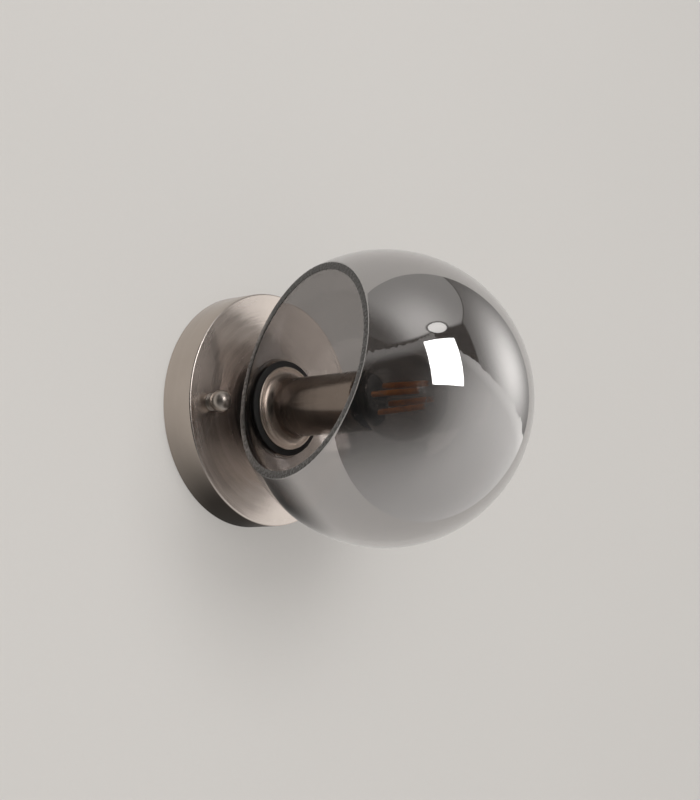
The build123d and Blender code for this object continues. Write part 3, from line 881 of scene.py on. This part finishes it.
def paint(piece: Piece, finish: Finish, choose: Callable[[bpy.types.MeshPolygon], bool]) -> None:
    """Give the chosen faces another of a piece's finishes.

    Args:
        piece: The piece.
        finish: The finish.
        choose: Says of a face whether it gets it.
    """
    index = piece.data.materials.find(finish.name)
    for face in piece.data.polygons:
        if choose(face):
            face.material_index = index


def install(piece: Piece, body: Body, slot: Slot, *replaced: str) -> None:
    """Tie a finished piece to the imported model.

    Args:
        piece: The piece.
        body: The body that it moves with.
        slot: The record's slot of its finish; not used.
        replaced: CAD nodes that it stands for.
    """
    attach(piece, body.value)
    if replaced:
        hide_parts(*replaced)
    log.info("%s rides on %s and stands for %s", piece.name, body.value, ", ".join(replaced) or "itself")


# ----- Sub-assemblies -----


@dataclass
class Globe:
    """Smoked glass globe with a rear hole and a large slanting mouth."""

    radius: float = 0.07498
    wall: float = 0.003
    centre_out: float = 0.0955
    rear_hole: float = 0.0175
    mouth_radius: float = 0.0553
    mouth_polar: float = 105.5
    mouth_turn: float = 166.7
    inner_edge_drop: float = 0.00005
    edge_round: float = 0.00045
    edge_angle: float = 30.0
    edge_facing: float = 0.95
    segments: int = 144
    rings: int = 108

    def __post_init__(self) -> None:
        """Work out the globe's middle, and the way and the distance from it to its mouth."""
        polar, turn = radians(self.mouth_polar), radians(self.mouth_turn)
        self.centre = on_axis(self.centre_out)
        self.way = Vector((sin(polar) * cos(turn), -cos(polar), sin(polar) * sin(turn)))
        self.mouth_reach = sqrt(self.radius**2 - self.mouth_radius**2)

    def reach(self, place: Vector) -> float:
        """How far a place lies from the globe's middle towards its mouth."""
        return (place - self.centre).dot(self.way)

    def at_mouth(self, edge: bmesh.types.BMEdge) -> bool:
        """True for an edge near the mouth's plane."""
        return all(abs(self.reach(vertex.co) - self.mouth_reach) < 10 * HAIR for vertex in edge.verts)

    def skin(self, radius: float, mouth_reach: float) -> Piece:
        """One sphere, cut at a plane across the mouth and at the rear hole.

        Args:
            radius: The sphere's radius.
            mouth_reach: How far the mouth's plane lies from its middle.

        Returns:
            The open skin, with its pole on the mouth's middle.
        """
        deselect()
        bpy.ops.mesh.primitive_uv_sphere_add(
            segments=self.segments,
            ring_count=self.rings,
            radius=radius,
            location=self.centre,
            rotation=self.way.to_track_quat("Z", "Y").to_euler(),
        )
        piece = added("globe_skin")
        cut_away(piece, self.centre + self.way * mouth_reach, self.way)
        hole_reach = sqrt(radius**2 - self.rear_hole**2)
        cut_away(piece, self.centre - on_axis(hole_reach), -on_axis(1))
        return piece

    def shell(self) -> Piece:
        """The wall between two skins, its cut edges closed and slightly rounded."""
        outer = self.skin(self.radius, self.mouth_reach)
        inner = self.skin(self.radius - self.wall, self.mouth_reach - self.inner_edge_drop)
        glass = joined([outer, inner], "globe_shade")
        for wanted in (True, False):
            edit(glass, lambda edge: len(edge.link_faces) == 1 and self.at_mouth(edge) == wanted)
            bpy.ops.mesh.bridge_edge_loops()
            leave_edit()
        edit(glass)
        merge(1e-6)
        edit(
            glass,
            lambda edge: len(edge.link_faces) == 2 and edge.calc_face_angle() > radians(self.edge_angle),
        )
        bpy.ops.mesh.bevel(offset=self.edge_round, segments=3, affect="EDGES")
        leave_edit()
        return smoothed(glass, 40)

    def build(self) -> None:
        """Model the shade and dress its outside, inside and the mouth's cut edge."""
        glass = self.shell()
        ground = GroundEdge("ground_glass_edge")
        dress(glass, SMOKED, SMOKED_INSIDE, ground)
        rim = self.mouth_reach - 20 * HAIR
        paint(glass, SMOKED_INSIDE, lambda face: (face.center - self.centre).dot(face.normal) < 0)
        paint(
            glass,
            ground,
            lambda face: face.normal.dot(self.way) > self.edge_facing and self.reach(face.center) > rim,
        )
        install(glass, Body.GLOBE, Slot.SMOKED_GLASS, "globe_glass")


@dataclass
class Backplate:
    """Drum-shaped pan, spun and brushed round its middle."""

    radius: float = 0.06175
    depth: float = 0.0193
    wall: float = 0.0012
    centre_hole: float = 0.00525
    rim_slack: float = 0.00012

    def build(self) -> None:
        """Model the pan, drill its stud holes and dress its face, side and inside."""
        inner, floor = self.radius - self.wall, self.depth - self.wall
        corners = [(self.centre_hole, floor, 0), (self.centre_hole, self.depth, 0.0002)]
        corners += [(self.radius, self.depth, 0.0009), (self.radius, 0, 0.0003)]
        corners += [(inner, 0, 0.0003), (inner, floor, 0.0006)]
        pan = turned("spun_backplate", softened(corners, closed=True), 192)
        for x in (-STUD_X, STUD_X):
            deselect()
            place = (x, -self.depth, 0)
            bpy.ops.mesh.primitive_cylinder_add(
                vertices=48, radius=STUD_HOLE, depth=0.01, location=place, rotation=(pi / 2, 0, 0)
            )
            drill(pan, added("stud_cutter"))
        smoothed(pan)
        dress(pan, PAN_METAL, PAN_SIDE_METAL, INSIDE_METAL)
        rim, behind, within = self.radius - self.rim_slack, -floor - HAIR, inner + 10 * HAIR
        # the side gets the darker colour of the nickel; the face's lighter one is painted light
        paint(pan, PAN_SIDE_METAL, lambda face: off_axis(face.center) > rim)
        paint(pan, INSIDE_METAL, lambda face: face.center.y > behind and off_axis(face.center) < within)
        install(pan, Body.FIXTURE, Slot.BRUSHED_NICKEL, "backplate")


@dataclass
class LampCup:
    """Flared foot and straight tube, turned in one piece."""

    start: float = 0.0289
    end: float = 0.0853
    foot: float = 0.022
    tube: float = 0.0155
    wall: float = 0.001
    floor: float = 0.0025
    bore: float = 0.00525
    flare: float = 0.005
    rim: float = 0.0007
    land: float = 0.0014
    trim: float = 0.0003
    trim_start: float = 0.00095
    groove: float = 0.00125
    bead: float = 0.00185
    lip: float = 0.0005

    def build(self) -> None:
        """Model the foot's rim, groove and bead, the hollow curve and the tube with its lip."""
        land, floor = self.start + self.land, self.start + self.floor
        inner = self.tube - self.wall
        outline = arc((self.foot - self.rim, self.start + self.rim), self.rim, -90, 90, 8)
        outline += [(self.foot - self.trim_start, land)]
        outline += arc((self.foot - self.groove, land), self.trim, 0, -180, 5)
        outline += arc((self.foot - self.bead, land - 0.0001), self.trim, 0, 180, 5)
        outline += [(self.tube + self.flare - self.rim, land - 0.00005)]
        outline += arc((self.tube + self.flare, land + self.flare), self.flare, 262, 180, 12)
        corners = [(self.tube, land + self.flare, 0), (self.tube, self.end, 0.00035)]
        corners += [(inner, self.end, 0.00035), (inner, floor, 0.0005)]
        corners += [(self.bore, floor, 0.0001), (self.bore, self.start, 0.0001)]
        corners += [(self.foot - self.rim, self.start, 0)]
        outline += softened(corners, closed=False)[1:-1]
        cup = smoothed(turned("turned_lamp_cup", outline, 160), 40)
        # the cup's finish paints a highlight on its foot
        dress(cup, CUP_METAL, INSIDE_METAL)
        mouth, within = -self.end + self.lip, inner + HAIR
        paint(cup, INSIDE_METAL, lambda face: face.center.y > mouth and off_axis(face.center) < within)
        install(cup, Body.FIXTURE, Slot.DARK_NICKEL, "lamp_cup")


@dataclass
class BallNuts:
    """Ball nuts that hold the pan, each on its washer."""

    face: float = 0.0193
    washer_thickness: float = 0.001
    washer: float = 0.0045
    neck: float = 0.0032
    skirt: float = 0.0009
    skirt_rise: float = 0.0007
    waist_rise: float = 0.0011
    ball: float = 0.0055
    ball_out: float = 0.026
    bore: float = 0.00205
    bore_end: float = 0.0241
    bore_tip: float = 0.001

    def washer_profile(self, seat: float) -> List[Point]:
        """A washer with a rounded outer edge, up to the nut's seat."""
        corners = [(STUD_HOLE, self.face, 0.0001), (self.washer, self.face, 0.00015)]
        corners += [(self.washer, seat, 0.00045), (STUD_HOLE, seat, 0.0001)]
        return softened(corners, closed=True)

    def nut_profile(self, seat: float) -> List[Point]:
        """A ball on a short waist with a skirt, bored from its seat."""
        skirt = self.neck + self.skirt
        low = degrees(acos(self.neck / self.ball))
        points = [(0.0, self.bore_end), (self.bore, self.bore_end - self.bore_tip), (self.bore, seat)]
        corners = [(self.bore, seat, 0), (skirt, seat, 0.0002)]
        corners += [(skirt, seat + self.skirt_rise, 0.00025), (self.neck, seat + self.waist_rise, 0)]
        return points + softened(corners, False)[1:] + arc((0.0, self.ball_out), self.ball, -low, 90, 28)

    def build(self) -> None:
        """Model one washer and one nut, then copy them to both studs."""
        seat = self.face + self.washer_thickness
        washer = smoothed(turned("washer_pattern", self.washer_profile(seat), 72))
        nut = smoothed(turned("nut_pattern", self.nut_profile(seat), 96, closed=False), 40)
        for side, x in (("left", -STUD_X), ("right", STUD_X)):
            finish = replace(NUT_METAL, name=f"{side}_nut_nickel", centre=(x, 0.0, 0.0))
            for pattern, label, body in ((washer, "nut_washer", "washer"), (nut, "ball_nut", "nut")):
                made = copied(pattern, f"{side}_turned_{label}")
                made.location.x = x
                dress(settle(made), finish)
                install(made, Body(f"{side}_{body}"), Slot.POLISHED_NICKEL, f"{side}_{label}")
        for pattern in (washer, nut):
            bpy.data.objects.remove(pattern)


@dataclass
class Bulb:
    """Clear ball bulb with stick filaments on wires, a glass stem and a threaded cap."""

    ball: float = 0.0223
    ball_out: float = 0.1074
    wall: float = 0.0008
    neck: float = 0.00645
    neck_start: float = 0.0687
    curve_start: float = 0.0784932
    cap: float = 0.00695
    cap_start: float = 0.0587
    cap_end: float = 0.0747
    cap_wall: float = 0.0003
    cap_taper: float = 0.0015
    cap_rows: int = 96
    pitch: float = 0.00282
    thread: float = 0.00042
    thread_stop: float = 0.0016
    thread_fade: float = 0.001
    play: float = 0.0001
    stem: float = 0.0023
    stem_end: float = 0.0904
    stem_flare: Tuple[Point, ...] = ((0.0009, 0.0018), (0.0021, 0.0044))
    stem_waist: float = 0.008
    stem_taper: Tuple[Point, ...] = ((0.92, 0.006), (0.8, 0.004))
    stick: float = 0.0015
    stick_length: float = 0.032
    stick_count: int = 4
    stick_turn: float = 75.0
    stick_round: float = 0.0004
    tab: float = 0.0004
    tab_length: float = 0.0019
    collar: float = 0.00055
    collar_rise: float = 0.0002
    base_ring: float = 0.0072
    tip_ring: float = 0.0059
    wire: float = 0.0003
    wire_foot: float = 0.003
    wire_start: Point = (0.0008, 0.002)
    wire_end: float = 0.0006
    wire_run: float = 0.0016
    wire_rise: float = 0.0032
    hub_drop: float = 0.0004
    dip: Point = (0.0028, 0.0009)

    def side(self, inset: float) -> List[Point]:
        """Neck, hollow curve and ball up to the axis.

        Args:
            inset: How far inside the outer face.

        Returns:
            The half outline.
        """
        ball, neck = self.ball - inset, self.neck - inset
        drop = self.ball_out - self.curve_start
        curve = (drop**2 - self.ball**2 + self.neck**2) / (2 * (self.ball - self.neck)) + inset
        meet = degrees(asin(drop / (ball + curve)))
        points = [(neck, self.neck_start)]
        points += arc((neck + curve, self.curve_start), curve, 180, 180 - meet, 12)
        points += arc((0.0, self.ball_out), ball, -meet, 90, 64)[1:]
        return points[:-1] + [(0.0, self.ball_out + ball)]

    def envelope(self) -> None:
        """The clear glass, as a closed wall."""
        profile = self.side(self.wall)[::-1] + self.side(0.0)
        glass = smoothed(turned("clear_bulb_glass", profile, 128, closed=False), 40)
        dress(glass, CLEAR)
        install(glass, Body.BULB, Slot.CLEAR_GLASS, "bulb_envelope")

    def stem_glass(self) -> None:
        """The glass stem: a flare in the neck, a tube and a flattened, beaded end."""
        base, foot = self.neck_start, self.neck - self.wall - self.play
        points = [(0.0, base), (foot, base)] + [(foot - inward, base + up) for inward, up in self.stem_flare]
        points += [(self.stem, base + self.stem_waist)]
        points += [(self.stem * share, self.stem_end - below) for share, below in self.stem_taper]
        points += arc((0.0, self.stem_end - self.stem), self.stem, -20, 90, 10)[:-1] + [(0.0, self.stem_end)]
        glass = smoothed(turned("glass_stem", points, 64, closed=False), 50)
        dress(glass, STEM)
        install(glass, Body.BULB, Slot.CLEAR_GLASS, "bulb_stem")

    def screw_cap(self) -> None:
        """The cap's shell with its rolled thread."""
        first, last = self.cap_start + self.cap_taper, self.cap_end - self.thread_stop
        step = (self.cap_end - first) / self.cap_rows
        inner, floor = self.cap - self.cap_wall - self.thread, first + self.cap_wall
        profile = [(0.0, self.cap_start), (self.cap - self.cap_taper, self.cap_start)]
        profile += [(self.cap, first + step * row) for row in range(self.cap_rows + 1)]
        profile += [(inner, self.cap_end), (inner, floor), (0.0, floor)]
        shell = turned("threaded_bulb_cap", profile, 96, closed=False)
        for vertex in shell.data.vertices:
            across, out = off_axis(vertex.co), -vertex.co.y
            if across < self.cap - HAIR or not first < out < last:
                continue
            phase = out / self.pitch * tau - atan2(vertex.co.z, vertex.co.x)
            fade = min(1.0, (out - first) / self.thread_fade, (last - out) / self.thread_fade)
            shrink = 1 - self.thread * fade * (0.5 - 0.5 * cos(phase)) / across
            vertex.co.x *= shrink
            vertex.co.z *= shrink
        smoothed(shell, 50)
        dress(shell, CAP_PLATE)
        install(shell, Body.BULB, Slot.CAP_NICKEL, "bulb_screw_cap")

    def ends(self) -> List[Tuple[Vector, Vector]]:
        """Base and tip of each stick."""
        found = []
        half = self.stick_length / 2
        for index in range(self.stick_count):
            turn = radians(self.stick_turn) + tau * index / self.stick_count
            way = Vector((cos(turn), 0, sin(turn)))
            base = way * self.base_ring + on_axis(self.ball_out - half)
            found.append((base, way * self.tip_ring + on_axis(self.ball_out + half)))
        return found

    def sticks(self) -> None:
        """Amber sticks with bright metal ends, one modelled and the rest copied."""
        half = self.stick_length / 2
        coat = half - self.tab_length
        rounded, start = self.stick - self.stick_round, coat - self.stick_round
        neck = coat + self.collar_rise
        profile = [(0.0, -half), (self.tab, -half), (self.tab, -neck), (self.collar, -coat)]
        profile += arc((rounded, -start), self.stick_round, -80, 0, 4)
        profile += arc((rounded, start), self.stick_round, 0, 80, 4)
        profile += [(self.collar, coat), (self.tab, neck), (self.tab, half), (0.0, half)]
        pattern = smoothed(turned("stick_pattern", profile, 24, closed=False), 40)
        dress(pattern, PHOSPHOR, WIRE)
        paint(pattern, WIRE, lambda face: abs(face.center.y) > coat + 5 * HAIR)
        made = []
        for index, (base, tip) in enumerate(self.ends()):
            stick = copied(pattern, f"stick_{index}")
            turn = (tip - base).normalized().to_track_quat("Y", "Z").to_matrix().to_4x4()
            stick.matrix_world = Matrix.Translation((base + tip) / 2) @ turn
            made.append(settle(stick))
        bpy.data.objects.remove(pattern)
        install(joined(made, "filament_sticks"), Body.BULB, Slot.AMBER_PHOSPHOR, "bulb_filaments")

    def mount_wires(self) -> None:
        """The middle wire with its hub, and bent wires to both ends of each stick."""
        hub = on_axis(self.ball_out + self.stick_length / 2 - self.hub_drop)
        foot = on_axis(self.stem_end - self.wire_foot)
        wires = [bent_wire([foot, (foot + hub) / 2, hub], self.wire)]
        aside, below = self.dip
        for base, tip in self.ends():
            way = Vector((base.x, 0, base.z)).normalized()
            leave = on_axis(self.stem_end - self.wire_start[1]) + way * self.wire_start[0]
            rise = leave + way * self.wire_run + on_axis(self.wire_rise)
            arrive = base + on_axis(self.play) - way * self.wire_run
            wires.append(bent_wire([leave, rise, arrive, base], self.wire))
            dip = hub + way * aside - on_axis(below)
            wires.append(bent_wire([hub, dip, tip - on_axis(self.wire_end)], self.wire))
        mount = smoothed(joined(wires, "filament_wires"), 50)
        dress(mount, WIRE)
        install(mount, Body.BULB, Slot.CAP_NICKEL, "bulb_support_wires")

    def build(self) -> None:
        """Model the whole bulb."""
        self.envelope()
        self.stem_glass()
        self.screw_cap()
        self.sticks()
        self.mount_wires()


# ----- Studio -----


@dataclass(frozen=True)
class MirroredRoom:
    """What metal and glass mirror: a tone for each direction (x, y, z).

    A dim lower part ends at a brink. Above it are a top, a bright side behind a seam, and a pale disc.
    A border is (slope, start), a step is (low, high, start, end) and a pool is (direction, power, gain).
    """

    colour: Colour = (1.0, 0.985, 0.965)
    grain: Point = (10.0, 0.15)
    brink: Tuple[Point, Point] = ((-0.66, 0.6), (0.26, 0.68))
    brink_step: Step = (-0.005, 0.005)
    brink_strip: Step = (-0.16, -0.03, 0.0, 0.2)
    low_slant: float = 0.8
    low_step: Step = (-0.75, 1.1, 0.02, 1.05)
    low_sinking: Point = (0.45, 1.0)
    low_pool: Pool = ((-0.45, -0.85, -0.3), 8.0, 0.68)
    top_pool: Pool = ((-0.12, -0.62, 0.775), 14.0, 0.5)
    top_tone: float = 0.33
    top_fade: Step = (-0.62, -0.28, 0.12, 1.0)
    top_border: Tuple[Point, Point] = ((-1.3, -0.2435), (0.22, 0.683))
    top_step: Step = (-0.005, 0.03)
    side_pool: Pool = ((0.86, -0.44, 0.25), 13.0, 1.5)
    side_tone: float = 0.09
    side_border: Tuple[Point, Point] = ((2.04, -1.037), (-0.13, 0.478))
    side_step: Step = (-0.008, 0.008)
    side_seam: Step = (0.004, 0.02, 0.25, 1.0)
    disc_middle: Point = (0.024, 0.706)
    disc_axes: Tuple[Point, Point] = ((7.2, -5.9), (2.1, 19.1))
    disc_rim: Step = (1.0, 1.6, 0.15, 1.0)
    disc_face: Step = (0.75, 1.0, 1.5, 0.0)
    least_tone: float = 0.008

    def light(self, graph: Graph, way: Signal) -> Signal:
        """The room's light.

        Args:
            graph: The world's graph.
            way: The direction.

        Returns:
            The light's colour.
        """
        x, _, z = graph.parts(way)
        scale, amount = self.grain
        uneven = (graph.noise(way, scale, 3.0, 0.6) - 0.5) * amount
        to_brink = z - x.line(*self.brink[0]).least(x.line(*self.brink[1]))
        low = graph.ramped(x - z * self.low_slant, *self.low_step) * z.least(0.0).line(*self.low_sinking)
        low = low * (1.0 - graph.pool(way, *self.low_pool)) + graph.ramped(to_brink, *self.brink_strip)

        top_start = x.line(*self.top_border[0]).most(x.least(0.0).line(*self.top_border[1]))
        top = (graph.pool(way, *self.top_pool) + self.top_tone) * graph.ramped(x, *self.top_fade)
        top = top * graph.ramped(z - top_start, *self.top_step)
        to_side = x - z.line(*self.side_border[0]).most(z.line(*self.side_border[1]))
        side = graph.pool(way, *self.side_pool) + self.side_tone
        right = graph.ramped(to_side, *self.side_step)
        seam = graph.ramped(to_side.maths("ABSOLUTE", to_side), *self.side_seam)

        across, upward = x - self.disc_middle[0], z - self.disc_middle[1]
        first, second = ((across * a + upward * b) ** 2 for a, b in self.disc_axes)
        disc = first + second
        high = (top * (1 - right) + side * right) * seam * graph.ramped(disc, *self.disc_rim)
        high = high + graph.ramped(disc, *self.disc_face) + self.least_tone
        above = graph.ramped(to_brink + uneven, *self.brink_step)
        return graph.scaled(graph.vector(*self.colour), low * (1 - above) + high * above)


@dataclass
class Studio:
    """Pale wall and floor, soft light and the camera."""

    wall_out: float = -0.0004
    wall_extent: float = 6.0
    wall_glow: float = 0.45
    floor_z: float = -0.95
    floor_extent: float = 4.4
    camera_place: Triple = (-0.6756, -0.6491, -0.1021)
    camera_aim: Triple = (0.01283, -0.0617, 0.00306)
    lens: float = 78.75
    sensor: float = 36.0
    box_place: Triple = (-0.085, -1.4, 0.492)
    box_way: Triple = (0.0, 0.963, -0.267)
    box_size: Tuple[float, float] = (0.62, 0.79)
    box_power: float = 7.5
    backdrop: Colour = (0.8, 0.79, 0.77)
    even: Colour = (1.0, 0.99, 0.975)
    even_pool: Pool = ((-0.45, -0.85, 0.3), 12.0, 2.4)
    even_slope: Point = (0.16, 0.12)
    even_tone: float = 0.3

    @staticmethod
    def surface(name: str, finish: Finish, size: float, place: Triple, tilt: float = 0.0) -> Piece:
        """Add a plane of the room.

        Args:
            name: Its name.
            finish: Its finish.
            size: How wide it is.
            place: Its middle.
            tilt: Its turn about X.

        Returns:
            The plane.
        """
        deselect()
        bpy.ops.mesh.primitive_plane_add(size=size, location=place, rotation=(tilt, 0, 0))
        made = added(name)
        dress(made, finish)
        return made

    def surfaces(self) -> None:
        """The wall behind the light and the floor well below it."""
        middle = (0, -self.wall_out, self.floor_z + self.wall_extent / 2)
        # the wall's mirrored glow carries a painted shadow below the light
        wall_paint = PaintedWall("wall_paint", glow_share=self.wall_glow)
        self.surface("studio_wall", wall_paint, self.wall_extent, middle, pi / 2)
        floor_paint = PaintedWall("floor_paint", (0.6, 0.58, 0.56), (0.56, 0.54, 0.52))
        floor = self.surface("studio_floor", floor_paint, self.floor_extent, (0, 0, self.floor_z))
        floor.visible_glossy = False

    def sky(self) -> None:
        """Even soft light, and for metal and glass the mirrored room."""
        world = bpy.data.worlds.new("soft_room")
        bpy.context.scene.world = world
        world.use_nodes = True
        graph = Graph(world.node_tree)
        way = graph.node("ShaderNodeTexCoord", output="Generated")
        x, _, z = graph.parts(way)
        aside, upward = self.even_slope
        tone = graph.pool(way, *self.even_pool) + z * upward - x * aside + self.even_tone
        even = graph.scaled(graph.vector(*self.even), tone)
        camera = graph.node("ShaderNodeLightPath", output="Is Camera Ray")
        lit = graph.blend(camera.sibling("Is Glossy Ray"), even, MirroredRoom().light(graph, way))
        seen = graph.blend(camera, lit, self.backdrop)
        graph.finish(graph.node("ShaderNodeBackground", inputs={"Color": seen}), "ShaderNodeOutputWorld")

    @staticmethod
    def stand(data: Union[bpy.types.Camera, bpy.types.Light], place: Triple, way: Vector) -> Piece:
        """Place a camera or a light.

        Args:
            data: The camera or the light.
            place: Where it stands.
            way: Where it looks.

        Returns:
            Its object.
        """
        made = bpy.data.objects.new(data.name, data)
        made.location = place
        made.rotation_euler = way.to_track_quat("-Z", "Y").to_euler()
        bpy.context.scene.collection.objects.link(made)
        return made

    def softbox(self) -> None:
        """The key light, a tall soft box to the front."""
        data = bpy.data.lights.new("softbox", "AREA")
        data.shape = "RECTANGLE"
        data.size, data.size_y = self.box_size
        data.energy = self.box_power
        self.stand(data, self.box_place, Vector(self.box_way))

    def camera(self) -> None:
        """The photograph's view."""
        data = bpy.data.cameras.new("camera")
        data.lens, data.sensor_width, data.sensor_fit = self.lens, self.sensor, "AUTO"
        data.clip_start, data.clip_end = 0.01, 50.0
        way = Vector(self.camera_aim) - Vector(self.camera_place)
        bpy.context.scene.camera = self.stand(data, self.camera_place, way)

    def build(self) -> None:
        """Set up the room, the lights and the camera."""
        self.camera()
        self.surfaces()
        self.sky()
        self.softbox()
        bpy.context.scene.view_settings.view_transform = "Standard"


def dress_nodes() -> None:
    """Give every CAD node that stays its own finish."""
    for finish, names in NODE_FINISHES.items():
        for name in names:
            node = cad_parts[name]
            for holder in node.material_slots:
                holder.material = finish.material()
            log.info("%s keeps its shape and gets %s", name, finish.name)


def main() -> None:
    """Build the light and its studio."""
    logging.basicConfig(level=logging.INFO, format="%(name)s: %(message)s")
    Studio().build()
    Globe().build()
    Backplate().build()
    LampCup().build()
    BallNuts().build()
    Bulb().build()
    dress_nodes()


if __name__ == "__main__":
    main()
